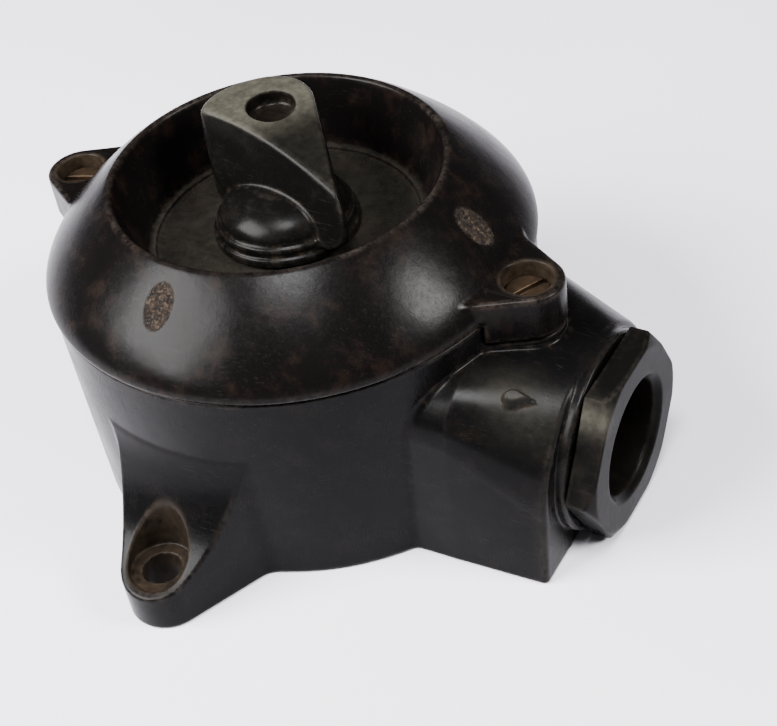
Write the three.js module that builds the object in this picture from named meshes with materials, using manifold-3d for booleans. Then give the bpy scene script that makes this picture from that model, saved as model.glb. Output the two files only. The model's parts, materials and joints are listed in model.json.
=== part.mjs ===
// Surface-mounted rotary switch in a moulded case: a round base with two fixing lugs and a
// cable entry, a sloping round cover with a deep well, a turn knob in the well, and a
// two-circuit change-over mechanism inside.
// Millimetres, +Z up. The origin is the centre of the flat back face that lies on the wall.
// +X points out through the cable entry; the knob turns about Z.
import * as THREE from 'three';
import { mergeVertices } from 'three/addons/utils/BufferGeometryUtils.js';
import Module from 'manifold-3d';

const wasm = await Module();
wasm.setup();

// ---- driving dimensions ----
const GAP = 0.3;                  // clearance between neighbouring pieces
const BASE_R_TOP = 42.3;          // body radius at the joint with the cover
const BASE_R_BOTTOM = 41.6;       // body radius at the wall
const CAVITY_R = 38.3;
const FLOOR_Z = 4;                // inside floor of the base
const RIM_Z = 39.7;               // top of the base's outer rim
const REBATE_R = 41;              // gasket rebate in the rim
const REBATE_Z = 38;
const COVER_Z = 40;               // lower edge of the cover
const COVER_R = 42.7;
const LIP_Z = 55;                 // rim of the well
const LIP_R = 28;
const WELL_FLOOR_Z = 42.5;
const WELL_FLOOR_R = 24;
const LUG_X = 45.5;               // cover screws, each side of the axis
const LUG_R = 6.1;
const LUG_FLARE = THREE.MathUtils.degToRad(30);
const LUG_TOP_Z = 44;
const LUG_SEAT_Z = 35.5;          // top of the bosses that carry the cover lugs
const SCREW_SEAT_Z = 39.5;
const FIX_Y = 51;                 // wall-fixing holes, each side of the axis
const FIX_R = 7;
const FIX_FLARE = THREE.MathUtils.degToRad(25);
const FIX_SEAT_Z = 7.4;
const SPOUT_END = 57.4;           // end face of the cable entry
// Sections of the cable entry: distance from the axis, half-width at the wall, half-width
// higher up, height, and radius of the top corners, which grows until the end is an arch.
const SPOUT_SECTIONS = [[30, 23.4, 23, 34.4, 8], [41, 23, 22.3, 34.4, 10], [SPOUT_END, 22, 20.8, 33.4, 20]];
const ENTRY_Y = -1.6;             // axis of the gland, a little to one side of the screws
const ENTRY_Z = 16.4;
const COLLAR_R = 17.3;            // round collar on the end face, cut off level with the back
const COLLAR_END = 59.2;
const ENTRY_R = 12.5;             // threaded bore
const PASSAGE_R = 9.5;            // cable passage into the base
const PASSAGE_END = 46;
const NUT_FLATS = 31.5;
const NUT_END = 64.2;
const NUT_BORE_R = 10;
const KNOB_R = 12.7;              // round foot of the knob
const KNOB_Z = WELL_FLOOR_Z + 0.5;
const KNOB_ANGLE = THREE.MathUtils.degToRad(-33);   // pointer direction at rest
const STOP_ANGLE = THREE.MathUtils.degToRad(1);     // pointer direction at the position by the gland
const HEAD_R = 9.9;               // round end of the grip, opposite the pointer
const HEAD_U = -10.6;
const GRIP_V = 2.2;               // the grip sits a little to one side of the axis
const TIP_U = 16.4;
const TIP_R = 3.5;
const HEAD_TOP_Z = 62.4;
const TIP_TOP_Z = 52.4;
// Flat flanks of the grip: side of the axis, reach across at the axis, taper along the grip,
// lean inwards with height.
const FLANKS = [[-1, 26.5, 0.506, 0.4575], [1, 20.96, 0.4, 0.2]];
const SPINDLE_FLATS = 6;
const TOP_FLATS = 4;                // smaller square that drives the knob
const PLATE_R = 25;               // insulating plates of the mechanism
const BLOCK_Z = 8.3;
const BLOCK_TOP = 14.8;
const TOP_PLATE_Z = 27.5;
const TOP_PLATE_T = 3;
const PILLAR_R = 21.5;            // distance of the frame screws from the axis
const CONTACT_IN = 13;
const CONTACT_OUT = 24;
const FINE = 64;                  // segments round large and small circles
const COARSE = 24;

// ---- geometry helpers ----
const v2 = (x, y) => new THREE.Vector2(x, y);

function solid(geometry) {
  geometry.deleteAttribute('normal');
  geometry.deleteAttribute('uv');
  const merged = mergeVertices(geometry, 1e-4);
  const mesh = new wasm.Mesh({
    numProp: 3,
    vertProperties: new Float32Array(merged.attributes.position.array),
    triVerts: new Uint32Array(merged.index.array),
  });
  return new wasm.Manifold(mesh);
}

function geometryOf(body) {
  const mesh = body.getMesh();
  const geometry = new THREE.BufferGeometry();
  geometry.setAttribute('position', new THREE.BufferAttribute(mesh.vertProperties, 3));
  geometry.setIndex(new THREE.BufferAttribute(mesh.triVerts, 1));
  return geometry;
}

// A body of revolution about Z from a closed profile of [radius, height] points.
function turned(points, segments = FINE) {
  const profile = points.map(([r, z]) => v2(r, z));
  const onAxis = points[0][0] === 0 && points[points.length - 1][0] === 0;
  if (!onAxis) profile.push(profile[0].clone());
  const geometry = new THREE.LatheGeometry(profile, segments);
  geometry.rotateX(Math.PI / 2);
  const body = solid(geometry);
  return body.volume() < 0 ? solid(turnInsideOut(geometry)) : body;
}

function turnInsideOut(geometry) {
  const index = geometry.index.array;
  for (let i = 0; i < index.length; i += 3) {
    const first = index[i];
    index[i] = index[i + 1];
    index[i + 1] = first;
  }
  return geometry;
}

const disc = (r, z0, z1, segments = FINE) => turned([[0, z0], [r, z0], [r, z1], [0, z1]], segments);
const ring = (r0, r1, z0, z1, segments = FINE) =>
  turned([[r0, z0], [r1, z0], [r1, z1], [r0, z1]], segments);

// A vertical prism from a plan outline, z0 to z1.
function prism(points, z0, z1) {
  const geometry = new THREE.ExtrudeGeometry(new THREE.Shape(points), {
    depth: z1 - z0, bevelEnabled: false, curveSegments: 12,
  });
  geometry.translate(0, 0, z0);
  return solid(geometry);
}

function block(x0, x1, y0, y1, z0, z1) {
  const geometry = new THREE.BoxGeometry(x1 - x0, y1 - y0, z1 - z0);
  geometry.translate((x0 + x1) / 2, (y0 + y1) / 2, (z0 + z1) / 2);
  return solid(geometry);
}

// Turns a body made along Z so that it runs along X at the height of the gland.
const alongX = (body) => body.rotate([0, 90, 0]).translate([0, ENTRY_Y, ENTRY_Z]);
const turnedBy = (body, angle) => body.rotate([0, 0, THREE.MathUtils.radToDeg(angle)]);
const polar = (r, angle) => [r * Math.cos(angle), r * Math.sin(angle)];

function arc(cx, cy, r, from, to, steps) {
  const points = [];
  for (let i = 0; i <= steps; i += 1) {
    const angle = from + ((to - from) * i) / steps;
    points.push(v2(cx + r * Math.cos(angle), cy + r * Math.sin(angle)));
  }
  return points;
}

// A tongue that points along +X: a round end at x = reach, sides flaring back to x = root.
function tongue(reach, r, flare, root) {
  const side = Math.PI / 2 - flare;
  const end = arc(reach, 0, r, -side, side, 14);
  const top = end[end.length - 1];
  const width = top.y + (top.x - root) * Math.tan(flare);
  return [v2(root, -width), ...end, v2(root, width)];
}

// ---- scene graph ----
const group = new THREE.Group();

function add(name, body, [colour, roughness, metalness]) {
  const material = new THREE.MeshStandardMaterial({ color: colour, roughness, metalness });
  const mesh = new THREE.Mesh(geometryOf(body), material);
  mesh.name = name;
  group.add(mesh);
}

const BAKELITE = ['#191310', 0.28, 0];
const KNOB_BAKELITE = ['#1e1916', 0.36, 0];
const PORCELAIN = ['#e4ded0', 0.3, 0];
const PAXOLIN = ['#6b4526', 0.55, 0];
const RUBBER = ['#1b1b1b', 0.85, 0];
const BRASS = ['#9a7a3c', 0.45, 1];
const COPPER = ['#b0714a', 0.4, 1];
const STEEL = ['#8a8c8f', 0.4, 1];

// ---- base housing ----
function spoutRing([x, foot, half, height, r]) {
  const right = arc(half - r, height - r, r, 0, Math.PI / 2, 12);
  const left = arc(r - half, height - r, r, Math.PI / 2, Math.PI, 12);
  const outline = [v2(foot, 0), ...right, ...left, v2(-foot, 0)];
  return outline.map((p) => [x, p.x + ENTRY_Y, p.y]);
}

// A closed skin through rings of equal count, with a fan over each end.
function loft(rings) {
  const count = rings[0].length;
  const index = [];
  for (let ring = 0; ring + 1 < rings.length; ring += 1) {
    for (let i = 0; i < count; i += 1) {
      const a = ring * count + i;
      const b = ring * count + ((i + 1) % count);
      index.push(a, a + count, b, b, a + count, b + count);
    }
  }
  const last = (rings.length - 1) * count;
  for (let i = 1; i + 1 < count; i += 1) {
    index.push(0, i, i + 1, last, last + i + 1, last + i);
  }
  const geometry = new THREE.BufferGeometry();
  geometry.setAttribute('position', new THREE.Float32BufferAttribute(rings.flat(2), 3));
  geometry.setIndex(index);
  const body = solid(geometry);
  return body.volume() < 0 ? solid(turnInsideOut(geometry)) : body;
}

// Wall-fixing lug on +X: its top sweeps down from the round wall to a thin round end.
function fixingLug() {
  const plan = prism(tongue(FIX_Y, FIX_R, FIX_FLARE, 34), 0, 30);
  const sweep = new THREE.QuadraticBezierCurve(v2(59.4, 6.8), v2(46.8, 9.8), v2(41.9, 26));
  const side = [[0, 0], [59.4, 0], ...sweep.getPoints(12).map((p) => [p.x, p.y]), [0, 26]];
  const profile = turned(side, 96);
  const seat = disc(5.5, FIX_SEAT_Z, 30, 32).translate([FIX_Y, 0, 0]);
  const hole = disc(3.3, -1, 10, COARSE).translate([FIX_Y, 0, 0]);
  return { body: plan.intersect(profile), cut: seat.add(hole) };
}

function lugBoss(sink) {
  const plan = prism(tongue(LUG_X, LUG_R - 0.4, LUG_FLARE, 36), 0, LUG_SEAT_Z);
  const under = [v2(36, sink), v2(42, sink), v2(53, sink + 9), v2(53, LUG_SEAT_Z), v2(36, LUG_SEAT_Z)];
  return plan.intersect(prism(under, -20, 20).rotate([90, 0, 0]));
}

const insertHole = disc(3.5, LUG_SEAT_Z - 4.4, LUG_SEAT_Z + 1, COARSE).translate([LUG_X, 0, 0]);
const pillarAngles = [Math.PI / 4, (5 * Math.PI) / 4];

let base = turned([[0, 0], [BASE_R_BOTTOM, 0], [BASE_R_TOP, RIM_Z], [0, RIM_Z]]);
base = base.add(loft(SPOUT_SECTIONS.map(spoutRing)));
base = base.add(alongX(disc(COLLAR_R, 50, COLLAR_END, 60)).subtract(block(40, 70, -40, 40, -10, 0.3)));
const lug = fixingLug();
for (const turn of [90, -90]) base = base.add(lug.body.rotate([0, 0, turn]));
base = base.add(lugBoss(20));
base = base.add(lugBoss(18).rotate([0, 0, 180]));
base = base.subtract(disc(CAVITY_R, FLOOR_Z, 60));
base = base.subtract(disc(REBATE_R, REBATE_Z, 60));
base = base.subtract(alongX(disc(ENTRY_R, PASSAGE_END, 70, 48)));
base = base.subtract(alongX(disc(PASSAGE_R, 30, 50, 40)));
for (const turn of [90, -90]) base = base.subtract(lug.cut.rotate([0, 0, turn]));
for (const turn of [0, 180]) base = base.subtract(insertHole.rotate([0, 0, turn]));
for (const angle of pillarAngles) {
  const [x, y] = polar(PILLAR_R, angle);
  base = base.add(disc(5, FLOOR_Z - 1, BLOCK_Z - GAP, COARSE).translate([x, y, 0]));
  base = base.subtract(disc(2.1, 1.5, 20, 16).translate([x, y, 0]));
}
add('base_housing', base, BAKELITE);

// ---- cover ----
const slope = new THREE.CubicBezierCurve(
  v2(COVER_R, COVER_Z + 0.6), v2(COVER_R, 43.6), v2(32.8, 52.4), v2(LIP_R + 1.2, LIP_Z - 0.2),
);
const coverProfile = [
  [REBATE_R, COVER_Z], [COVER_R - 0.1, COVER_Z],
  ...slope.getPoints(14).map((p) => [p.x, p.y]),
  [LIP_R + 0.6, LIP_Z], [LIP_R + 0.1, LIP_Z - 0.3],
  [WELL_FLOOR_R + 0.5, WELL_FLOOR_Z + 1.4], [WELL_FLOOR_R, WELL_FLOOR_Z + 0.6],
  [WELL_FLOOR_R - 1, WELL_FLOOR_Z + 0.5], [WELL_FLOOR_R - 1, WELL_FLOOR_Z],
  [5.7, WELL_FLOOR_Z], [5.7, 36.8], [9, 36.8], [9.6, 39.2],
  [24.6, 39.2], [27.4, 41.6], [30.6, 49.6], [34, 47.8], [39.2, 42.2],
  [39.4, COVER_Z + GAP], [REBATE_R, COVER_Z + GAP],
];
const coverLug = prism(tongue(LUG_X, LUG_R, LUG_FLARE, 34), LUG_SEAT_Z + GAP, LUG_TOP_Z)
  .subtract(disc(BASE_R_TOP + 0.4, 30, COVER_Z + 0.01))
  .subtract(disc(39.3, 30, 50));
const coverLugCut = disc(4.25, SCREW_SEAT_Z, 60, 32).add(disc(2.3, 30, 45, 16)).translate([LUG_X, 0, 0]);

let cover = turned(coverProfile);
for (const turn of [0, 180]) cover = cover.add(coverLug.rotate([0, 0, turn]));
for (const turn of [0, 180]) cover = cover.subtract(coverLugCut.rotate([0, 0, turn]));
add('cover', cover, BAKELITE);
add('cover_gasket', ring(38.6, 40.7, REBATE_Z + GAP, COVER_Z), RUBBER);
add('cover_bush', turned([[4.4, 36.2], [5.4, 36.2], [5.4, 42.3], [4.4, 42.3]], 32), BRASS);

// ---- cover screws and their inserts ----
function slottedScrew(headR, headH, shankR, length, slotW, slotD) {
  const head = turned([[0, 0], [headR, 0], [headR, headH - 0.3], [headR - 0.3, headH], [0, headH]], COARSE);
  const shank = disc(shankR, -length, 0.5, 16);
  const slot = block(-headR - 1, headR + 1, -slotW / 2, slotW / 2, headH - slotD, headH + 1);
  return head.add(shank).subtract(slot);
}

[1, 2].forEach((number) => {
  const side = number === 1 ? 1 : -1;
  const slotTurn = number === 1 ? 62 : 20;
  const screw = slottedScrew(3.7, 1.9, 1.85, 8.2, 1.1, 1).rotate([0, 0, slotTurn]);
  add(`cover_screw_${number}`, screw.translate([side * LUG_X, 0, SCREW_SEAT_Z + GAP]), BRASS);
  const insert = ring(2.2, 3.2, LUG_SEAT_Z - 4.1, LUG_SEAT_Z - GAP, COARSE);
  add(`cover_insert_${number}`, insert.translate([side * LUG_X, 0, 0]), BRASS);
});

// ---- cable gland ----
const GLAND_OUT = ENTRY_R - 0.4;
const hexR = NUT_FLATS / 2 / Math.cos(Math.PI / 6);
const HEX_X = COLLAR_END + GAP;
const hexOutline = arc(0, 0, hexR, 0, (5 * Math.PI) / 3, 5);
// The hexagon, its outer corners turned off at 30 degrees; made along Z, corners towards +-Y.
const hexagon = prism(hexOutline, HEX_X, NUT_END)
  .rotate([0, 0, 30])
  .intersect(turned([[0, HEX_X - 1], [hexR + 1, HEX_X - 1], [hexR + 0.6, NUT_END - 1.6],
    [NUT_FLATS / 2 + 0.4, NUT_END], [0, NUT_END]], 60));
const nutBody = disc(GLAND_OUT, 54.8, HEX_X + 0.1, 40)
  .add(hexagon.rotate([0, 0, 60]))
  .subtract(disc(NUT_BORE_R, 50, 70, 40))
  .subtract(turned([[0, NUT_END - 1.2], [NUT_BORE_R - 0.1, NUT_END - 1.2], [NUT_BORE_R + 1.2, NUT_END + 0.1],
    [0, NUT_END + 0.1]], 40));
add('gland_nut', alongX(nutBody), KNOB_BAKELITE);
add('gland_washer', alongX(ring(8.8, GLAND_OUT, 53.3, 54.5, 40)), STEEL);
add('gland_grommet', alongX(ring(8.5, GLAND_OUT, PASSAGE_END + GAP, 53, 40)), RUBBER);

// ---- knob ----
// Plan of the grip: a round head behind the axis, narrowing to a small round tip. Made with
// the pointer along +X, then turned to its rest direction.
function gripPlan() {
  const lean = Math.asin((HEAD_R - TIP_R) / (TIP_U - TIP_R - HEAD_U));
  const from = Math.PI / 2 - lean;
  const head = arc(HEAD_U, GRIP_V, HEAD_R, from, 2 * Math.PI - from, 26);
  const nose = arc(TIP_U - TIP_R, GRIP_V, TIP_R, -from, from, 12);
  return [...head, ...nose];
}

// The head leans outwards towards its top, which slopes down to the tip; two flat flanks lean in.
function grip() {
  const plan = prism(gripPlan(), KNOB_Z + 2, HEAD_TOP_Z + 2);
  const top = new THREE.QuadraticBezierCurve(v2(-22, HEAD_TOP_Z - 2.6), v2(-8, HEAD_TOP_Z + 1.6),
    v2(TIP_U + 0.6, TIP_TOP_Z));
  const profile = [v2(-13, KNOB_Z + 2), v2(-14.2, KNOB_Z + 4), v2(-20, HEAD_TOP_Z - 5),
    ...top.getPoints(12), v2(TIP_U + 0.4, KNOB_Z + 4), v2(14, KNOB_Z + 2)];
  let body = plan.intersect(prism(profile, -20, 20).rotate([90, 0, 0]));
  for (const [side, reach, taper, lean] of FLANKS) {
    body = body.trimByPlane([-taper, -side, -lean], -reach / Math.hypot(taper, 1, lean));
  }
  return body;
}

// Stepped foot with a low dome over it, which bulges out on both sides of the grip.
const dome = arc(0, 0, 1, 0.12, Math.PI / 2, 9).map((p) => [Math.max(p.x * 11.2, 0), KNOB_Z + 3.2 + p.y * 5.6]);
const foot = turned([[0, KNOB_Z], [KNOB_R, KNOB_Z], [KNOB_R, KNOB_Z + 1.5], [KNOB_R - 0.7, KNOB_Z + 1.7],
  [KNOB_R - 0.7, KNOB_Z + 3.1], [KNOB_R - 1.3, KNOB_Z + 3.4], ...dome], 48);
let knob = grip().add(foot);
const dimple = disc(4.2, HEAD_TOP_Z - 3.4, HEAD_TOP_Z + 4, COARSE).translate([HEAD_U + 1.4, GRIP_V + 1.9, 0]);
const squareCut = (flats, z0, z1) => block(-flats / 2, flats / 2, -flats / 2, flats / 2, z0, z1);
knob = knob.subtract(dimple)
  .subtract(disc(9, KNOB_Z - 1, KNOB_Z + 1.8, 40))
  .subtract(disc(4.3, KNOB_Z, 50.4, COARSE));
add('knob', turnedBy(knob, KNOB_ANGLE), KNOB_BAKELITE);
add('knob_seal', ring(5.6, 8.6, KNOB_Z - 0.2, KNOB_Z + 1.5, 40), RUBBER);
const socket = disc(4, KNOB_Z + 2.2, 50.1, COARSE).subtract(squareCut(TOP_FLATS + 0.6, 0, 49.6));
add('knob_socket', turnedBy(socket, KNOB_ANGLE), BRASS);

// ---- spindle and what turns with it ----
const spindle = disc(3.4, BLOCK_Z + 0.9, BLOCK_TOP + 0.2, COARSE)
  .add(squareCut(SPINDLE_FLATS, BLOCK_TOP + 0.1, 35))
  .add(disc(4.05, 34.8, KNOB_Z + 1.8, COARSE))
  .add(squareCut(TOP_FLATS, KNOB_Z + 1.6, 49.2));
add('spindle', turnedBy(spindle, KNOB_ANGLE), STEEL);
add('spindle_clip', ring(4.4, 6.6, 35, 35.9, COARSE), STEEL);

const BRIDGE_Z = 19.4;
const squareHole = squareCut(SPINDLE_FLATS + 0.7, 0, 60);
const drum = disc(7.4, BLOCK_TOP + GAP, TOP_PLATE_Z - 0.6, 36)
  .subtract(squareHole)
  .subtract(block(-9, 9, -4.3, 4.3, BRIDGE_Z - GAP, BRIDGE_Z + 2 + GAP));
add('rotor_drum', turnedBy(drum, KNOB_ANGLE), PAXOLIN);
const bridge = block(-12.4, 12.4, -4, 4, BRIDGE_Z, BRIDGE_Z + 2)
  .intersect(disc(12.4, 0, 60, 40))
  .subtract(squareHole);
add('bridge_contact', turnedBy(bridge, KNOB_ANGLE), COPPER);

// Detent wheel: eight shallow notches, so that the pointer stops every 45 degrees.
const WHEEL_Z = TOP_PLATE_Z + TOP_PLATE_T + 0.4;
let wheel = disc(9, WHEEL_Z, WHEEL_Z + 3, 48).subtract(squareHole);
for (let i = 0; i < 8; i += 1) {
  const [x, y] = polar(10, Math.PI / 4 - STOP_ANGLE + (i * Math.PI) / 4);
  wheel = wheel.subtract(disc(2, 0, 60, 16).translate([x, y, 0]));
}
add('detent_wheel', turnedBy(wheel, KNOB_ANGLE), STEEL);

// ---- fixed mechanism ----
let carrier = disc(PLATE_R, BLOCK_Z, BLOCK_TOP, 48).subtract(disc(3.8, BLOCK_Z + 0.6, 30, COARSE));
let topPlate = disc(PLATE_R, TOP_PLATE_Z, TOP_PLATE_Z + TOP_PLATE_T, 48).subtract(disc(5, 0, 60, COARSE));
pillarAngles.forEach((angle, i) => {
  const [x, y] = polar(PILLAR_R, angle);
  const hole = disc(2.2, 0, 60, 16).translate([x, y, 0]);
  carrier = carrier.subtract(hole);
  topPlate = topPlate.subtract(hole);
  add(`spacer_sleeve_${i + 1}`,
    ring(2.2, 3.6, BLOCK_TOP + GAP, TOP_PLATE_Z - GAP, COARSE).translate([x, y, 0]), BRASS);
  const screwZ = TOP_PLATE_Z + TOP_PLATE_T + GAP;
  add(`frame_screw_${i + 1}`,
    slottedScrew(3.4, 2.2, 1.8, screwZ - 2, 0.9, 1).translate([x, y, screwZ]), STEEL);
});

for (let i = 0; i < 4; i += 1) {
  const angle = (i * Math.PI) / 2;
  const strip = block(CONTACT_IN, CONTACT_OUT, -3.5, 3.5, BLOCK_TOP + GAP, BLOCK_TOP + 1.8)
    .add(block(CONTACT_IN, CONTACT_IN + 1.3, -3.5, 3.5, BLOCK_TOP + GAP, BRIDGE_Z + 3.4))
    .subtract(disc(2.1, 0, 30, 16).translate([20, 0, 0]));
  add(`fixed_contact_${i + 1}`, turnedBy(strip, angle), BRASS);
  const screw = slottedScrew(3.2, 2.4, 1.75, 5.6, 0.9, 1).translate([20, 0, BLOCK_TOP + 2.1]);
  add(`terminal_screw_${i + 1}`, turnedBy(screw, angle), BRASS);
  carrier = carrier.subtract(turnedBy(disc(2.1, BLOCK_Z + 2, 30, 16).translate([20, 0, 0]), angle));
}
add('contact_carrier', carrier, PORCELAIN);
add('top_plate', topPlate, PAXOLIN);

// Detent spring: a flat hairpin whose two arms lie each side of the wheel.
const ARM_Y = 9.4;
const ARM_T = 0.9;
const bend = arc(-9.5, 0, ARM_Y + ARM_T, Math.PI / 2, (3 * Math.PI) / 2, 12);
const inner = arc(-9.5, 0, ARM_Y, (3 * Math.PI) / 2, Math.PI / 2, 12);
const hairpin = prism([v2(12, ARM_Y + ARM_T), ...bend, v2(12, -ARM_Y - ARM_T), v2(12, -ARM_Y), ...inner,
  v2(12, ARM_Y)], WHEEL_Z, WHEEL_Z + 2.6);
add('detent_spring', turnedBy(hairpin, -Math.PI / 4), STEEL);

// ---- earth terminal on the floor beside the cable entry ----
const EARTH_X = 31;
const EARTH_Y = -14;
const post = disc(3.6, FLOOR_Z + GAP, 10.4, COARSE).subtract(disc(1.9, 5.5, 20, 16));
add('earth_post', post.translate([EARTH_X, EARTH_Y, 0]), BRASS);
const earthScrew = slottedScrew(3.2, 2.2, 1.55, 4.2, 0.9, 1);
add('earth_screw', earthScrew.translate([EARTH_X, EARTH_Y, 10.7]), BRASS);

export default group;
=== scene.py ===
"""Surface-mounted rotary switch: looks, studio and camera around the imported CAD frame.

The moulded pieces are implicit fields, in millimetres in the CAD frame, meshed here with small
fillets at every junction. Everything in Blender is in metres.
"""
import json
import math

import bpy
import numpy as np
from mathutils import Matrix, Vector


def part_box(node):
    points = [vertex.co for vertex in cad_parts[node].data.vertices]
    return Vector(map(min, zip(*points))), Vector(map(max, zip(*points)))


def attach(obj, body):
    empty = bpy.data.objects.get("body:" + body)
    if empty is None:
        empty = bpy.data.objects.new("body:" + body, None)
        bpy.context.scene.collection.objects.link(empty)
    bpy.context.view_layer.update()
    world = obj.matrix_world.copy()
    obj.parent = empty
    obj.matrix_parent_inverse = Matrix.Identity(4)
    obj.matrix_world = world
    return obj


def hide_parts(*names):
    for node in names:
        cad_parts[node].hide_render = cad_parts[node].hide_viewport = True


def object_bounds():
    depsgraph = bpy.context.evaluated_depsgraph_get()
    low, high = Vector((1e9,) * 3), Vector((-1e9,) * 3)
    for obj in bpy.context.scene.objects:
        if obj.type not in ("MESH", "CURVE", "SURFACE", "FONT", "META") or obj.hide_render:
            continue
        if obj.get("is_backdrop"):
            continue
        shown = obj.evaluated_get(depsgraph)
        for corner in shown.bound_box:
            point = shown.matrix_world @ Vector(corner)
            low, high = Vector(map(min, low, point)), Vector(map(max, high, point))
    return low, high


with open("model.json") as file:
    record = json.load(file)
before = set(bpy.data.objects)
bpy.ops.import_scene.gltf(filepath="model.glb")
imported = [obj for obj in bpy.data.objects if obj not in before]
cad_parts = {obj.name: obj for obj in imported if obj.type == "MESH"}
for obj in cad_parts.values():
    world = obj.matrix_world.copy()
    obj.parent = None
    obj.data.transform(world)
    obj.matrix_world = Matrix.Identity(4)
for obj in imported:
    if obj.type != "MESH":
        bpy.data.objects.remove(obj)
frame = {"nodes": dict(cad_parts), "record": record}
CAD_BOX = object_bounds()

MM = 0.001
BASE_STEP, COVER_STEP, FINE_STEP, SCREW_STEP = 0.34, 0.36, 0.24, 0.16   # mesh steps, millimetres
SHEEN, NUT_SHEEN = 0.045, 0.022     # specular level of the black mouldings: old and half dull
FLOOR_HALF, FLOOR_STEPS = 5.0, 24
STUDIO_AIM = Vector((0, 0, 0.04))   # the point that every light faces
CAMERA_PLACE, CAMERA_LENS = (0.13873, -0.17193, 0.2008), 72.8
AZIMUTH, ELEVATION, ROLL = math.radians(35.5), math.radians(41.2), math.radians(-9.3)

# ---- dimensions shared with the CAD, in millimetres ----
BASE_R_TOP, BASE_R_BOTTOM = 42.3, 41.6
CAVITY_R, FLOOR_Z = 38.3, 4.0
RIM_Z, REBATE_R, REBATE_Z = 39.7, 41.0, 38.0
COVER_Z, COVER_R = 40.0, 42.7
LIP_Z, LIP_R = 55.0, 28.0
WELL_Z, WELL_R = 42.5, 24.0
LUG_X, LUG_R, LUG_FLARE = 45.5, 6.1, math.radians(30)
LUG_TOP_Z, LUG_SEAT_Z, SCREW_SEAT_Z = 44.0, 35.5, 39.5
SCREW_COUNTERBORE_R, SCREW_HOLE_R = 4.25, 2.3
SCREW_HEAD_R, SCREW_HEAD_H, SCREW_SHANK_R, SCREW_SHANK_L = 3.7, 1.9, 1.85, 8.2
SLOT_HALF, SLOT_FLOOR_Z = 0.55, 0.9
FIX_Y, FIX_R, FIX_FLARE, FIX_SEAT_Z = 51.0, 7.0, math.radians(25), 7.4
FIX_COUNTERBORE_R, FIX_HOLE_R = 5.5, 3.3
# Sections of the cable entry: x, half-width at the wall, half-width higher up, height, corner radius.
SPOUT_SECTIONS = np.array([[30, 23.4, 23, 34.4, 8], [41, 23, 22.3, 34.4, 10], [57.4, 22, 20.8, 33.4, 20]])
ENTRY_Y, ENTRY_Z, ENTRY_R, PASSAGE_R, PASSAGE_END = -1.6, 16.4, 12.5, 9.5, 46.0
COLLAR_R, COLLAR_END = 17.3, 59.2
NUT_FLATS, NUT_END, NUT_BORE_R = 31.5, 64.2, 10.0
KNOB_R, KNOB_Z, KNOB_ANGLE = 12.7, 43.0, math.radians(-33)
HEAD_R, HEAD_U, GRIP_V, TIP_U, TIP_R = 9.9, -10.6, 2.2, 16.4, 3.5
HEAD_TOP_Z, TIP_TOP_Z = 62.4, 52.4
# Flat flanks of the grip: side of the axis, reach across, taper along the grip, lean with height.
FLANKS = ((-1, 26.5, 0.506, 0.4575), (1, 20.96, 0.4, 0.2))
DIMPLE_R, DIMPLE_DU, DIMPLE_DV = 4.2, 1.4, 1.9
FOOT_RECESS_R, KNOB_BORE_R, KNOB_BORE_TOP = 9.0, 4.3, 50.4
PILLAR_R = 21.5
DROP_X, DROP_Y, DROP_HEIGHT = 50.3, -15.0, 1.05    # teardrop on the cable entry
# Worn position marks on the cover: direction from the axis, distance from it.
MARKS = ((math.radians(-92.0), 34.2), (math.radians(4.1), 35.4))


# ---- fields: negative inside, in millimetres ----
def smax(a, b, k):
    h = np.clip(0.5 + 0.5 * (a - b) / k, 0, 1)
    return b + (a - b) * h + k * h * (1 - h)


def smin(a, b, k):
    return -smax(-a, -b, k)


def smooth(low, high, value):
    t = np.clip((value - low) / (high - low), 0, 1)
    return t * t * (3 - 2 * t)


def bezier(points, count):
    t = np.linspace(0, 1, count)[:, None]
    points = [np.array(p, float) for p in points]
    while len(points) > 1:
        points = [a * (1 - t) + b * t for a, b in zip(points, points[1:])]
    return [tuple(p) for p in points[0]]


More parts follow.
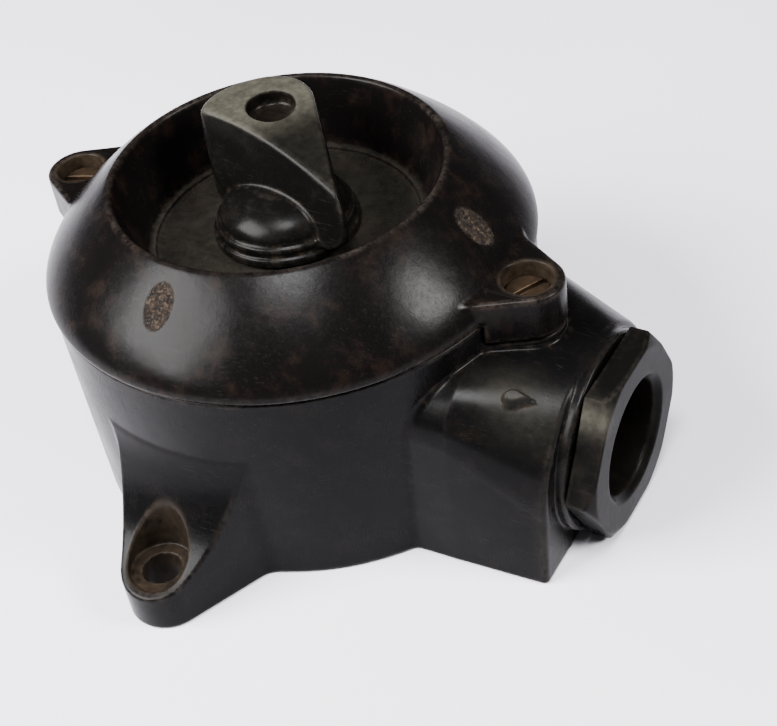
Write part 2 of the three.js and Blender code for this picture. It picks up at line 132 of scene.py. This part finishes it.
class Outline:
    """Signed distance to a closed 2-D outline, tabulated, with its corners softened a little."""
    STEP = 0.15

    def __init__(self, points, soften=4, margin=5.0):
        points = np.array(points, float)
        self.low = points.min(0) - margin
        size = np.ceil((points.max(0) + margin - self.low) / self.STEP).astype(int) + 1
        axes = [self.low[i] + self.STEP * np.arange(size[i]) for i in (0, 1)]
        gx, gy = np.meshgrid(*axes, indexing="ij")
        nearest = np.full(gx.shape, 1e9)
        inside = np.zeros(gx.shape, bool)
        for (ax, ay), (bx, by) in zip(points, np.roll(points, -1, 0)):
            dx, dy = bx - ax, by - ay
            length = dx * dx + dy * dy
            if length < 1e-12:
                continue
            t = np.clip(((gx - ax) * dx + (gy - ay) * dy) / length, 0, 1)
            nearest = np.minimum(nearest, np.hypot(gx - ax - t * dx, gy - ay - t * dy))
            if dy:
                crosses = (ay > gy) != (by > gy)
                inside ^= crosses & (gx < ax + dx * (gy - ay) / dy)
        table = np.where(inside, -nearest, nearest)
        for _ in range(soften):
            for axis in (0, 1):
                padded = np.pad(table, [(1, 1) if i == axis else (0, 0) for i in (0, 1)], mode="edge")
                first = np.take(padded, range(table.shape[axis]), axis)
                last = np.take(padded, range(2, table.shape[axis] + 2), axis)
                table = (first + 2 * table + last) / 4
        self.table = table.astype(np.float32)
        self.top = np.array(table.shape) - 1.001

    def __call__(self, a, b):
        u = (a - self.low[0]) / self.STEP
        v = (b - self.low[1]) / self.STEP
        cu, cv = np.clip(u, 0, self.top[0]), np.clip(v, 0, self.top[1])
        i, j = cu.astype(np.int32), cv.astype(np.int32)
        fu, fv = cu - i, cv - j
        t = self.table
        value = (t[i, j] * (1 - fu) + t[i + 1, j] * fu) * (1 - fv)
        value += (t[i, j + 1] * (1 - fu) + t[i + 1, j + 1] * fu) * fv
        return value + np.hypot(u - cu, v - cv) * self.STEP


def tongue(along, across, reach, radius, flare):
    """Plan of a lug: a round end at reach, sides flaring back towards the body."""
    a, q = along - reach, np.abs(across)
    side = a * math.sin(flare) + q * math.cos(flare) - radius
    end = np.hypot(a, q) - radius
    return np.where(a * math.cos(flare) - q * math.sin(flare) < 0, side, end)


def capsule(u, v, u0, r0, u1, r1):
    """Plan of the grip: a big round end and a small one, joined by their tangents."""
    span = u1 - u0
    b = (r0 - r1) / span
    a = np.sqrt(1 - b * b)
    p, q = u - u0, np.abs(v)
    k = q * -b + p * a
    flank = q * a + p * b - r0
    return np.where(k < 0, np.hypot(p, q) - r0,
                    np.where(k > a * span, np.hypot(p - span, q) - r1, flank))


LUG_SWEEP = Outline([(59.4, -2)] + bezier([(59.4, 6.8), (46.8, 9.8), (41.9, 26)], 30)
                    + [(30, 27), (30, -2)], 6)
COVER_SLOPE = bezier([(COVER_R, COVER_Z + 0.6), (COVER_R, 43.6), (32.8, 52.4),
                      (LIP_R + 1.2, LIP_Z - 0.2)], 50)
COVER_PROFILE = Outline(
    [(REBATE_R, COVER_Z), (COVER_R - 0.15, COVER_Z)] + COVER_SLOPE
    + [(LIP_R + 0.7, LIP_Z), (LIP_R + 0.1, LIP_Z - 0.25), (WELL_R + 0.5, WELL_Z + 1.4),
       (WELL_R, WELL_Z + 0.6), (WELL_R - 1, WELL_Z + 0.5), (WELL_R - 1, WELL_Z), (5.7, WELL_Z),
       (5.7, 36.8), (9, 36.8), (9.6, 39.2), (24.6, 39.2), (27.4, 41.6), (30.6, 49.6), (34, 47.8),
       (39.2, 42.2), (39.4, COVER_Z + 0.3), (REBATE_R, COVER_Z + 0.3)], 3)


def base_field(x, y, z):
    r = np.hypot(x, y)
    wall = r - (BASE_R_BOTTOM + (BASE_R_TOP - BASE_R_BOTTOM) * z / RIM_Z)
    body = smax(wall, z - RIM_Z, 0.5)
    body = smin(body, spout_field(x, y, z), 0.9)
    gland = np.hypot(y - ENTRY_Y, z - ENTRY_Z)
    collar = smax(smax(gland - COLLAR_R, np.maximum(x - COLLAR_END, 50 - x), 0.7), 0.3 - z, 0.4)
    body = smin(body, collar, 0.35)
    out = np.abs(y)
    lug = smax(tongue(out, x, FIX_Y, FIX_R, FIX_FLARE), LUG_SWEEP(r, z), 0.55)
    body = smin(body, lug, 1.4)
    side = np.abs(x)
    foot = np.where(x > 0, 20, 18) + np.maximum(side - 42, 0) * 0.82 - z
    boss = smax(tongue(side, y, LUG_X, LUG_R - 0.4, LUG_FLARE), np.maximum(z - LUG_SEAT_Z, foot * 0.75), 0.6)
    body = smin(body, boss, 1.0)
    body = smax(body, -z, 0.6)
    cuts = np.maximum(r - CAVITY_R, FLOOR_Z - z)
    cuts = np.minimum(cuts, np.maximum(r - REBATE_R, REBATE_Z - z))
    cuts = np.minimum(cuts, np.maximum(gland - ENTRY_R, PASSAGE_END - x))
    cuts = np.minimum(cuts, np.maximum(gland - PASSAGE_R, 30 - x))
    hole = np.hypot(x, out - FIX_Y)
    cuts = np.minimum(cuts, smax(hole - FIX_COUNTERBORE_R, FIX_SEAT_Z - z, 0.5))
    cuts = np.minimum(cuts, hole - FIX_HOLE_R)
    cuts = np.minimum(cuts, np.maximum(np.hypot(side - LUG_X, y) - 3.5, LUG_SEAT_Z - 4.4 - z))
    body = smax(body, -cuts, 0.45)
    diagonal = np.abs(x + y) / math.sqrt(2) - PILLAR_R
    pillar = np.hypot(diagonal, (x - y) / math.sqrt(2))
    post = np.maximum(np.maximum(pillar - 5, z - 8), 2 - z)
    return np.maximum(np.minimum(body, post), -np.maximum(pillar - 2.1, 1.5 - z))


def spout_field(x, y, z):
    """The cable entry: a box with round top corners whose radius grows towards the gland."""
    at, *rows = SPOUT_SECTIONS.T
    foot, half, height, corner = (np.interp(x, at, row) for row in rows)
    spring = height - corner
    side = half + (foot - half) * np.clip(1 - z / spring, 0, 1)
    a, b = np.abs(y - ENTRY_Y) - (side - corner), z - spring
    box = np.hypot(np.maximum(a, 0), np.maximum(b, 0)) + np.minimum(np.maximum(a, b), 0) - corner
    box = box - teardrop(x, y, z)
    return smax(box, np.maximum(x - SPOUT_SECTIONS[-1, 0], 30 - x), 1.0)


def teardrop(x, y, z):
    """Height of the small moulded teardrop on the shoulder of the entry, its point to the gland."""
    u = x - DROP_X
    outline = capsule(u, 1.14 * (y - DROP_Y - 0.33 * u), -0.9, 1.75, 2.6, 0.12)
    return DROP_HEIGHT * smooth(0, 0.85, -outline) * (z > ENTRY_Z)


def mark(x, y, z):
    """The two worn oval position marks on the slope of the cover: 1 inside, 0 outside."""
    total = 0
    for angle, radius in MARKS:
        out = x * math.cos(angle) + y * math.sin(angle)
        across = -x * math.sin(angle) + y * math.cos(angle)
        along = (np.hypot(x, y) - radius) * 1.45
        value = (along / 4.4) ** 2 + (across / 2.6) ** 2
        total = total + (1 - smooth(0.72, 1.12, value)) * (out > 0) * (z > 44)
    return total


def cover_field(x, y, z):
    r, side = np.hypot(x, y), np.abs(x)
    shell = COVER_PROFILE(r, z)
    lug = smax(tongue(side, y, LUG_X, LUG_R, LUG_FLARE),
               np.maximum(z - LUG_TOP_Z, LUG_SEAT_Z + 0.3 - z), 0.9)
    lug = np.maximum(lug, np.where(z > COVER_Z, 39.3, BASE_R_TOP + 0.4) - r)
    body = smin(shell, lug, 0.8)
    hole = np.hypot(side - LUG_X, y)
    cuts = np.minimum(smax(hole - SCREW_COUNTERBORE_R, SCREW_SEAT_Z - z, 0.4), hole - SCREW_HOLE_R)
    return smax(body, -cuts, 0.45) + 0.1 * mark(x, y, z)


def arc(rx, rz, z, start, end, count):
    return [(max(rx * math.cos(a), 0), z + rz * math.sin(a)) for a in np.linspace(start, end, count)]


FOOT = Outline([(-4, KNOB_Z), (KNOB_R, KNOB_Z), (KNOB_R, KNOB_Z + 1.4), (KNOB_R - 0.7, KNOB_Z + 1.75),
                (KNOB_R - 0.7, KNOB_Z + 3.1), (KNOB_R - 1.3, KNOB_Z + 3.4)]
               + arc(11.2, 5.6, KNOB_Z + 3.2, 0.12, math.pi / 2, 30) + [(-4, KNOB_Z + 8.8)], 3)
GRIP_SIDE = Outline([(-13, KNOB_Z + 2), (-14.2, KNOB_Z + 4), (-20, HEAD_TOP_Z - 5)]
                    + bezier([(-21.6, HEAD_TOP_Z - 2.7), (-8, HEAD_TOP_Z + 1.5),
                              (TIP_U + 0.5, TIP_TOP_Z)], 30)
                    + [(TIP_U + 0.3, KNOB_Z + 4), (14, KNOB_Z + 2)], 10)


def knob_axes(x, y):
    """Along the pointer and across it, from the axis of the knob."""
    c, s = math.cos(KNOB_ANGLE), math.sin(KNOB_ANGLE)
    return x * c + y * s, -x * s + y * c


def knob_field(x, y, z):
    u, v = knob_axes(x, y)
    axis = np.hypot(u, v)
    across = v - GRIP_V
    grip = smax(capsule(u, across, HEAD_U, HEAD_R, TIP_U - TIP_R, TIP_R), GRIP_SIDE(u, z), 1.2)
    for side, reach, taper, lean in FLANKS:
        grip = smax(grip, (side * v + taper * u + lean * z - reach) / math.hypot(1, taper, lean), 0.7)
    body = smin(FOOT(axis, z), grip, 0.6)
    dimple = np.hypot(u - HEAD_U - DIMPLE_DU, across - DIMPLE_DV) - DIMPLE_R
    dip = smax(dimple, HEAD_TOP_Z - 4.4 - z, 1.2)
    body = smax(body, -dip, 0.45)
    recess = np.maximum(axis - FOOT_RECESS_R, z - KNOB_Z - 1.8)
    cuts = np.minimum(recess, np.maximum(axis - KNOB_BORE_R, z - KNOB_BORE_TOP))
    return np.maximum(body, -cuts)


HEX_R = NUT_FLATS / 2 / math.cos(math.pi / 6)
HEX_X = COLLAR_END + 0.3
NUT_BODY = Outline([(54.8, NUT_BORE_R), (54.8, 12.1), (HEX_X, 12.1), (HEX_X, HEX_R + 0.6),
                    (NUT_END - 1.6, HEX_R + 0.6), (NUT_END, NUT_FLATS / 2 + 0.4),
                    (NUT_END, NUT_BORE_R + 1.2), (NUT_END - 1.2, NUT_BORE_R)], 2)


def nut_field(x, y, z):
    w, side = z - ENTRY_Z, y - ENTRY_Y
    body = NUT_BODY(x, np.hypot(side, w))
    flats = np.maximum(np.abs(w), np.abs(w) / 2 + np.abs(side) * math.cos(math.pi / 6)) - NUT_FLATS / 2
    return smax(body, flats, 0.45)


def screw_field(turn):
    """A slotted cover screw with its seat at z = 0, the slot turned by turn."""
    def field(x, y, z):
        c, s = math.cos(turn), math.sin(turn)
        u, v = x * c + y * s, -x * s + y * c
        r = np.hypot(u, v)
        crown = z - SCREW_HEAD_H + 0.15 * (r / SCREW_HEAD_R) ** 2
        head = smax(r - SCREW_HEAD_R, np.maximum(crown, -z), 0.35)
        shank = np.maximum(r - SCREW_SHANK_R, np.maximum(-SCREW_SHANK_L - z, z - 0.5))
        slot = np.maximum(np.abs(v) - SLOT_HALF, SLOT_FLOOR_Z - z)
        return smax(np.minimum(head, shank), -slot, 0.2)
    return field


# ---- meshing ----
def gradient(field, p, h):
    columns = []
    for axis in range(3):
        step = np.zeros(3)
        step[axis] = h
        ahead, behind = p + step, p - step
        columns.append(field(*ahead.T) - field(*behind.T))
    return np.stack(columns, 1) / (2 * h)


def surface(name, field, low, high, step, offset=(0, 0, 0)):
    """A quad mesh of field = 0 inside the box, its vertices moved onto the exact surface."""
    step = step * 1
    axes = [np.arange(a - 2 * step, b + 3 * step, step, dtype=np.float32) for a, b in zip(low, high)]
    shape = tuple(len(a) for a in axes)
    values = np.empty(shape, np.float32)
    for start in range(0, shape[0], 24):
        part = np.meshgrid(axes[0][start:start + 24], axes[1], axes[2], indexing="ij")
        values[start:start + 24] = field(*part)
    inside = values < 0
    origin = np.array([a[0] for a in axes])
    stride = np.array([shape[1] * shape[2], shape[2], 1])
    cells, points, quads = [], [], []
    for axis in range(3):
        here = [slice(None)] * 3
        there = [slice(None)] * 3
        here[axis], there[axis] = slice(0, -1), slice(1, None)
        here, there = tuple(here), tuple(there)
        index = np.argwhere(inside[here] != inside[there])
        v0 = values[here][tuple(index.T)]
        v1 = values[there][tuple(index.T)]
        crossing = index.astype(float)
        crossing[:, axis] += v0 / (v0 - v1)
        b, c = stride[(axis + 1) % 3], stride[(axis + 2) % 3]
        cell = index @ stride
        around = np.stack([cell, cell - b, cell - b - c, cell - c], 1)
        around[v0 > v1] = around[v0 > v1][:, ::-1]
        quads.append(around)
        cells.append(around.ravel())
        points.append(np.repeat(crossing, 4, 0))
    _, inverse = np.unique(np.concatenate(cells), return_inverse=True)
    points = np.concatenate(points)
    count = np.bincount(inverse)
    p = np.stack([np.bincount(inverse, points[:, i]) / count for i in range(3)], 1) * step + origin
    faces = inverse.reshape(-1, 4)
    for _ in range(4):
        g = gradient(field, p, 0.12)
        scale = np.maximum((g * g).sum(1), 0.2)
        move = g * (field(*p.T) / scale)[:, None]
        p = p - np.clip(move, -0.4 * step, 0.4 * step)
    normals = gradient(field, p, 0.16)
    normals /= np.maximum(np.linalg.norm(normals, axis=1), 1e-6)[:, None]
    # The field's curvature: above zero on outer edges, below zero in creases.
    bend = -6 * field(*p.T)
    for axis in range(3):
        shift = np.zeros(3)
        shift[axis] = 0.6
        bend = bend + field(*(p + shift).T) + field(*(p - shift).T)
    bend /= 0.36
    mesh = bpy.data.meshes.new(name)
    mesh.from_pydata(((p + offset) * MM).tolist(), [], faces.tolist())
    mesh.validate()
    mesh.polygons.foreach_set("use_smooth", np.ones(len(mesh.polygons), bool))
    mesh.normals_split_custom_set_from_vertices(normals.tolist())
    obj = bpy.data.objects.new(name, mesh)
    bpy.context.scene.collection.objects.link(obj)
    paint(obj, "edge", np.clip(bend * 1.1 - 0.12, 0, 1))
    paint(obj, "crease", np.clip(-bend * 1.1 - 0.1, 0, 1))
    return obj, p + offset, normals


def paint(obj, name, values):
    """Stores a value for each vertex, for the material to read."""
    layer = obj.data.attributes.new(name, "FLOAT", "POINT")
    layer.data.foreach_set("value", np.asarray(values, np.float32))


# ---- materials ----
class Shader:
    """A node material: add() makes a node, sets its sockets from numbers or links them."""

    def __init__(self, name):
        self.material = bpy.data.materials.new(name)
        self.material.use_nodes = True
        self.tree = self.material.node_tree
        self.bsdf = self.tree.nodes["Principled BSDF"]
        place = self.add("ShaderNodeTexCoord")
        self.mm = self.add("ShaderNodeMapping", Vector=place.outputs["Object"], Scale=(1000, 1000, 1000))

    def add(self, kind, settings=None, **sockets):
        node = self.tree.nodes.new(kind)
        for key, value in (settings or {}).items():
            setattr(node, key, value)
        self.set(node, **sockets)
        return node

    def set(self, node, **sockets):
        for key, value in sockets.items():
            socket = node.inputs[int(key[1:])] if key[0] == "i" and key[1:].isdigit() else node.inputs[key]
            if isinstance(value, bpy.types.Node):
                value = value.outputs[0]
            if isinstance(value, bpy.types.NodeSocket):
                self.tree.links.new(value, socket)
            else:
                socket.default_value = value

    def noise(self, scale, detail=4.0, roughness=0.55, stretch=None, turn=(0, 0, 0)):
        vector = self.mm
        if stretch:
            vector = self.add("ShaderNodeMapping", Vector=self.mm, Scale=stretch, Rotation=turn)
        node = self.add("ShaderNodeTexNoise", Vector=vector, Scale=scale, Detail=detail, Roughness=roughness)
        return node.outputs["Fac"]

    def ramp(self, value, low, high, to_low=0.0, to_high=1.0):
        return self.add("ShaderNodeMapRange", {"interpolation_type": "SMOOTHSTEP"}, i0=value, i1=low,
                        i2=high, i3=to_low, i4=to_high)

    def math(self, operation, a, b=0.0):
        return self.add("ShaderNodeMath", {"operation": operation, "use_clamp": True}, i0=a, i1=b)

    def attribute(self, name):
        return self.add("ShaderNodeAttribute", {"attribute_name": name}).outputs["Fac"]

    def mix(self, factor, a, b):
        node = self.add("ShaderNodeMix", {"data_type": "RGBA"}, i0=factor)
        for socket, value in ((node.inputs[6], a), (node.inputs[7], b)):
            if isinstance(value, tuple):
                socket.default_value = (*value, 1)
            else:
                self.tree.links.new(value, socket)
        return node.outputs[2]

    def blend(self, factor, a, b):
        node = self.add("ShaderNodeMix", {"data_type": "FLOAT"}, i0=factor, i2=a, i3=b)
        return node.outputs[0]

    def bump(self, height, strength, distance, before=None):
        node = self.add("ShaderNodeBump", Height=height, Strength=strength, Distance=distance)
        if before is not None:
            self.tree.links.new(before.outputs[0], node.inputs["Normal"])
        return node

    def finish(self, **sockets):
        self.set(self.bsdf, **{k.replace("_", " "): v for k, v in sockets.items()})
        return self.material


def scratches(s, count=3):
    """Thin random lines: stretched noise, each layer turned another way and cut to its crests."""
    total = None
    for i in range(count):
        lines = s.noise(1.0, 2.0, 0.5, (0.035, 2.6, 2.6), (0.4 * i, 0.7 - 0.5 * i, 1.1 * i + 0.3))
        crest = s.ramp(lines, 0.665, 0.70)
        total = crest if total is None else s.math("MAXIMUM", total, crest)
    gate = s.ramp(s.noise(0.12, 3), 0.42, 0.6)
    return s.math("MULTIPLY", total, gate)


def bakelite(name, dark, brown, gloss, wear, sheen=SHEEN):
    """Polished black moulding: faint brown mottle, pores, fine scratches, rubbed edges, and a dust coat that
    also paints sheen and highlights.
    """
    s = Shader(name)
    mottle = s.ramp(s.noise(0.2, 6, 0.65), 0.48, 0.74)
    grain = s.noise(2.6, 4, 0.65)
    colour = s.mix(mottle, dark, brown)
    lines = scratches(s)
    colour = s.mix(s.math("MULTIPLY", lines, 0.03), colour, (0.08, 0.075, 0.07))
    rub = s.math("MULTIPLY", s.attribute("edge"), s.ramp(s.noise(0.7, 7, 0.75), 0.36, 0.70))
    rub = s.math("MULTIPLY", rub, s.ramp(s.noise(0.09, 3, 0.5), 0.40, 0.60, 0.35, 1.0))
    colour = s.mix(s.math("MULTIPLY", rub, wear), colour, (0.13, 0.105, 0.085))
    # Light dust coat: real dust on the knob's head; painted highlights on the entry's shoulder and the nut;
    # painted sheen on the cover's recess floor.
    dust_and_sheen_film = s.math("MULTIPLY", s.attribute("dust_and_sheen"), s.ramp(s.noise(0.6, 8, 0.75), 0.22, 0.78, 0.3, 1.0))
    colour = s.mix(dust_and_sheen_film, colour, (0.085, 0.080, 0.062))
    gather = s.math("MULTIPLY", s.attribute("crease"), s.ramp(s.noise(0.7, 5, 0.6), 0.45, 0.70))
    colour = s.mix(s.math("MULTIPLY", gather, 0.25), colour, (0.035, 0.024, 0.015))
    rust = s.math("MULTIPLY", s.attribute("ochre"), s.ramp(s.noise(0.5, 8, 0.7), 0.25, 0.75, 0.15, 1.0))
    colour = s.mix(rust, colour, (0.030, 0.021, 0.013))
    oval = s.math("MULTIPLY", s.attribute("mark"), s.ramp(s.noise(0.9, 7, 0.78), 0.38, 0.62))
    speck = s.mix(s.ramp(s.noise(2.0, 6, 0.75), 0.44, 0.62), (0.012, 0.008, 0.006), (0.052, 0.039, 0.028))
    colour = s.mix(oval, colour, speck)
    rough = s.ramp(s.noise(0.1, 6, 0.62), 0.30, 0.72, gloss, gloss + 0.10)
    pores = s.ramp(s.noise(2.2, 6, 0.8), 0.60, 0.72)
    rough = s.blend(s.math("MULTIPLY", pores, 0.6), rough, 0.6)
    rough = s.blend(s.math("MULTIPLY", rub, 0.7), rough, 0.5)
    streaks = s.ramp(s.noise(1.0, 3, 0.6, (2.4, 2.4, 0.16)), 0.44, 0.66)
    rough = s.blend(s.math("MULTIPLY", streaks, 0.22), rough, 0.45)
    dull = s.math("MAXIMUM", s.math("MAXIMUM", dust_and_sheen_film, rust), oval)
    rough = s.blend(dull, rough, 0.72)
    relief = s.bump(grain, 0.10, 0.0001)
    relief = s.bump(s.noise(0.22, 3, 0.5), 0.10, 0.0006, relief)
    relief = s.bump(pores, -0.5, 0.0001, relief)
    relief = s.bump(lines, -0.4, 0.00008, relief)
    relief = s.bump(oval, 0.5, 0.0002, relief)
    s.set(s.bsdf, **{"Specular IOR Level": sheen})
    return s.finish(Base_Color=colour, Roughness=rough, IOR=1.5, Normal=relief)


def metal(name, tone, tarnish, gloss):
    """Brushed metal with patches of tarnish."""
    s = Shader(name)
    patches = s.ramp(s.noise(0.54, 6, 0.7), 0.36, 0.66)
    brushed = s.noise(1.0, 3, 0.6, (0.5, 0.5, 6))
    colour = s.mix(patches, tone, tarnish)
    rough = s.blend(patches, s.ramp(brushed, 0.3, 0.7, gloss, gloss + 0.15), 0.62)
    relief = s.bump(s.noise(2.5, 4, 0.6), 0.2, 0.0001)
    relief = s.bump(brushed, 0.1, 0.00008, relief)
    return s.finish(Base_Color=colour, Metallic=0.9, Roughness=rough, Normal=relief)


def plain(name, tone, second, gloss, grain):
    """Two close tones in patches, with a fine grain."""
    s = Shader(name)
    colour = s.mix(s.ramp(s.noise(grain, 6, 0.65), 0.38, 0.66), tone, second)
    rough = s.ramp(s.noise(grain * 3, 4), 0.3, 0.7, gloss, gloss + 0.2)
    relief = s.bump(s.noise(grain * 4, 4, 0.6), 0.2, 0.00015)
    return s.finish(Base_Color=colour, Roughness=rough, Normal=relief)


BLACK = bakelite("bakelite_case", (0.0016, 0.0015, 0.0016), (0.0032, 0.0026, 0.0022), 0.18, 0.10)
COVER_BLACK = bakelite("bakelite_cover", (0.0020, 0.0016, 0.0016), (0.0062, 0.0040, 0.0030), 0.18, 0.12)
KNOB_BLACK = bakelite("bakelite_knob", (0.0016, 0.0015, 0.0014), (0.0040, 0.0034, 0.0028), 0.17, 0.08)
NUT_BLACK = bakelite("bakelite_nut", (0.0016, 0.0015, 0.0015), (0.0042, 0.0035, 0.0030), 0.24, 0.08,
                     NUT_SHEEN)
FINISHES = {
    "brass": metal("old_brass", (0.055, 0.036, 0.021), (0.022, 0.013, 0.008), 0.42),
    "copper": metal("contact_copper", (0.55, 0.26, 0.14), (0.16, 0.06, 0.03), 0.28),
    "steel": metal("plated_steel", (0.42, 0.41, 0.39), (0.12, 0.08, 0.05), 0.3),
    "rubber": plain("aged_rubber", (0.018, 0.017, 0.016), (0.04, 0.035, 0.03), 0.7, 0.6),
    "porcelain": plain("glazed_porcelain", (0.74, 0.70, 0.60), (0.60, 0.54, 0.44), 0.2, 0.15),
    "paper_laminate": plain("paper_laminate", (0.16, 0.065, 0.022), (0.25, 0.12, 0.045), 0.4, 0.5),
    "bakelite": BLACK,
    "knob_bakelite": KNOB_BLACK,
}


def dress(obj, material):
    obj.data.materials.clear()
    obj.data.materials.append(material)


slot_of = {s["node"]: s["material_slot"] for s in frame["record"]["subparts"]}
for node_name, node_object in frame["nodes"].items():
    dress(node_object, FINISHES[slot_of[node_name]])


# ---- the moulded pieces ----
def moulded(name, node, body, material, field, step, offset=(0, 0, 0), bounds=None):
    """Meshes a field as the piece that stands for a CAD node; gives it, its points and normals."""
    low, high = bounds or tuple(np.array(corner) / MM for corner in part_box(node))
    obj, points, normals = surface(name, field, low, high, step, offset)
    dress(obj, material)
    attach(obj, body)
    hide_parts(node)
    return obj, points, normals


def near_bore(points, x, y, radius, z0, z1):
    """1 on the wall of an upright bore between two heights, fading to 0 around it."""
    distance = np.hypot(points[:, 0] - x, points[:, 1] - y)
    band = smooth(z0 - 1, z0, points[:, 2]) * (1 - smooth(z1, z1 + 1.5, points[:, 2]))
    return (1 - smooth(radius, radius + 0.9, distance)) * band


base, p, n = moulded("case_base", "base_housing", "housing", BLACK, base_field,
                     BASE_STEP)
ochre = 0.45 * sum(near_bore(p, 0, side * FIX_Y, 5.4, -1, 30) for side in (1, -1))
paint(base, "ochre", np.clip(ochre, 0, 1))
paint(base, "mark", np.zeros(len(p)))
# Painted highlight with some dust: a lighter patch on the upward faces of the entry's shoulder, where the
# high light reflects.
shoulder_dust_and_highlight = np.exp(-((p[:, 0] - 50) / 7) ** 2 - ((p[:, 1] + 15) / 4) ** 2)
grime = smooth(54, 57, p[:, 0]) * smooth(24, 14, p[:, 2])
paint(base, "dust_and_sheen", 0.14 * shoulder_dust_and_highlight * smooth(0.2, 0.6, n[:, 2]) + 0.05 * grime)

cover, p, n = moulded("case_cover", "cover", "housing", COVER_BLACK, cover_field,
                      COVER_STEP)
ochre = 0.8 * sum(near_bore(p, side * LUG_X, 0, 4.3, 34, 43.2) for side in (1, -1))
paint(cover, "ochre", np.clip(ochre, 0, 1))
paint(cover, "mark", mark(p[:, 0], p[:, 1], p[:, 2]))
# Dust and painted sheen: a lighter coat on the upward faces of the floor of the cover's recess.
well_dust_and_sheen = (np.hypot(p[:, 0], p[:, 1]) < 24) & (p[:, 2] > 40)
paint(cover, "dust_and_sheen", 0.13 * well_dust_and_sheen * smooth(0.6, 1, n[:, 2]))

knob, p, n = moulded("turn_knob", "knob", "knob", KNOB_BLACK, knob_field,
                     FINE_STEP)
along, across = knob_axes(p[:, 0], p[:, 1])
head = smooth(0, -9, along) * smooth(57, 59.5, p[:, 2]) * smooth(0.3, 0.85, n[:, 2])
dimple = 1 - smooth(3.9, 4.5, np.hypot(along - HEAD_U - DIMPLE_DU, across - GRIP_V - DIMPLE_DV))
dimple = dimple * smooth(55, 56, p[:, 2])
slope = smooth(50, 56, p[:, 2]) * smooth(0.3, 0.85, n[:, 2])
paint(knob, "dust_and_sheen", np.clip((0.46 * head + 0.05 * slope) * (1 - dimple), 0, 1))
paint(knob, "ochre", 0.10 * dimple)
paint(knob, "mark", np.zeros(len(p)))

nut, p, _ = moulded("gland_hex_nut", "gland_nut", "housing", NUT_BLACK, nut_field,
                    FINE_STEP)
paint(nut, "ochre", 0.07 * (np.hypot(p[:, 1] - ENTRY_Y, p[:, 2] - ENTRY_Z) < 10.4))
# Painted highlight: a lighter patch on the nut's top flat; the faint coat elsewhere is dust.
nut_highlight_patch = np.exp(-((p[:, 1] - ENTRY_Y + 10.8) / 2.4) ** 2 - ((p[:, 2] - ENTRY_Z - 13.2) / 2.4) ** 2)
paint(nut, "dust_and_sheen", np.clip(0.4 * nut_highlight_patch + 0.01, 0, 1))
paint(nut, "mark", np.zeros(len(p)))

for number, turn in ((1, math.radians(62)), (2, math.radians(20))):
    side = 1 if number == 1 else -1
    centre = (side * LUG_X, 0, SCREW_SEAT_Z + 0.3)
    moulded(f"slotted_screw_{number}", f"cover_screw_{number}", "housing", FINISHES["brass"],
            screw_field(turn), SCREW_STEP, centre,
            ((-SCREW_HEAD_R, -SCREW_HEAD_R, -SCREW_SHANK_L), (SCREW_HEAD_R, SCREW_HEAD_R, SCREW_HEAD_H)))

# ---- stage, lights and camera ----
floor_mesh = bpy.data.meshes.new("paper")
grid = np.linspace(-FLOOR_HALF, FLOOR_HALF, FLOOR_STEPS + 1)
row = FLOOR_STEPS + 1
floor_mesh.from_pydata([(x, y, -0.0002) for x in grid for y in grid], [],
                       [(i * row + j, (i + 1) * row + j, (i + 1) * row + j + 1, i * row + j + 1)
                        for i in range(FLOOR_STEPS) for j in range(FLOOR_STEPS)])
floor = bpy.data.objects.new("paper", floor_mesh)
bpy.context.scene.collection.objects.link(floor)
paper = Shader("white_paper")
tone = paper.mix(paper.ramp(paper.noise(0.012, 3), 0.3, 0.7), (0.63, 0.62, 0.68), (0.66, 0.648, 0.706))
dress(floor, paper.finish(Base_Color=tone, Roughness=0.75,
                          Normal=paper.bump(paper.noise(1.2, 5), 0.05, 0.0001)))
floor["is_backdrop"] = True

world = bpy.data.worlds.new("studio")
world.use_nodes = True
world.node_tree.nodes["Background"].inputs[0].default_value = (0.80, 0.80, 0.86, 1)
world.node_tree.nodes["Background"].inputs[1].default_value = 0.12
bpy.context.scene.world = world


def window(name, direction, distance, width, height, watts, colour):
    """A soft rectangular light, in a direction from the object and at a distance from it."""
    light = bpy.data.lights.new(name, "AREA")
    light.shape = "RECTANGLE"
    light.size, light.size_y = width, height
    light.energy = watts
    light.color = colour
    obj = bpy.data.objects.new(name, light)
    bpy.context.scene.collection.objects.link(obj)
    place = Vector(direction).normalized() * distance + STUDIO_AIM
    obj.location = place
    obj.rotation_euler = (STUDIO_AIM - place).to_track_quat("-Z", "Y").to_euler()


window("window_left", (-0.50, -0.60, 0.62), 0.62, 0.42, 0.35, 21, (1.0, 0.99, 0.985))
window("window_right", (0.77, 0.17, 0.61), 1.2, 0.29, 0.31, 26, (1.0, 0.99, 0.97))
window("ceiling", (0.15, -0.31, 0.94), 1.5, 0.48, 0.44, 44, (0.985, 0.98, 1.0))

right0 = Vector((math.cos(AZIMUTH), math.sin(AZIMUTH), 0))
up0 = Vector((-math.sin(AZIMUTH) * math.sin(ELEVATION), math.cos(AZIMUTH) * math.sin(ELEVATION),
              math.cos(ELEVATION)))
right = right0 * math.cos(ROLL) + up0 * math.sin(ROLL)
up = up0 * math.cos(ROLL) - right0 * math.sin(ROLL)
camera_data = bpy.data.cameras.new("camera")
camera_data.sensor_width = 36
camera_data.sensor_fit = "HORIZONTAL"
camera_data.lens = CAMERA_LENS
camera = bpy.data.objects.new("camera", camera_data)
bpy.context.scene.collection.objects.link(camera)
camera.matrix_world = Matrix.Translation(CAMERA_PLACE) @ Matrix(
    (right, up, right.cross(up))).transposed().to_4x4()
bpy.context.scene.camera = camera

bpy.context.view_layer.update()
[[list(map(float, corner)) for corner in box] for box in (CAD_BOX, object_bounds())]
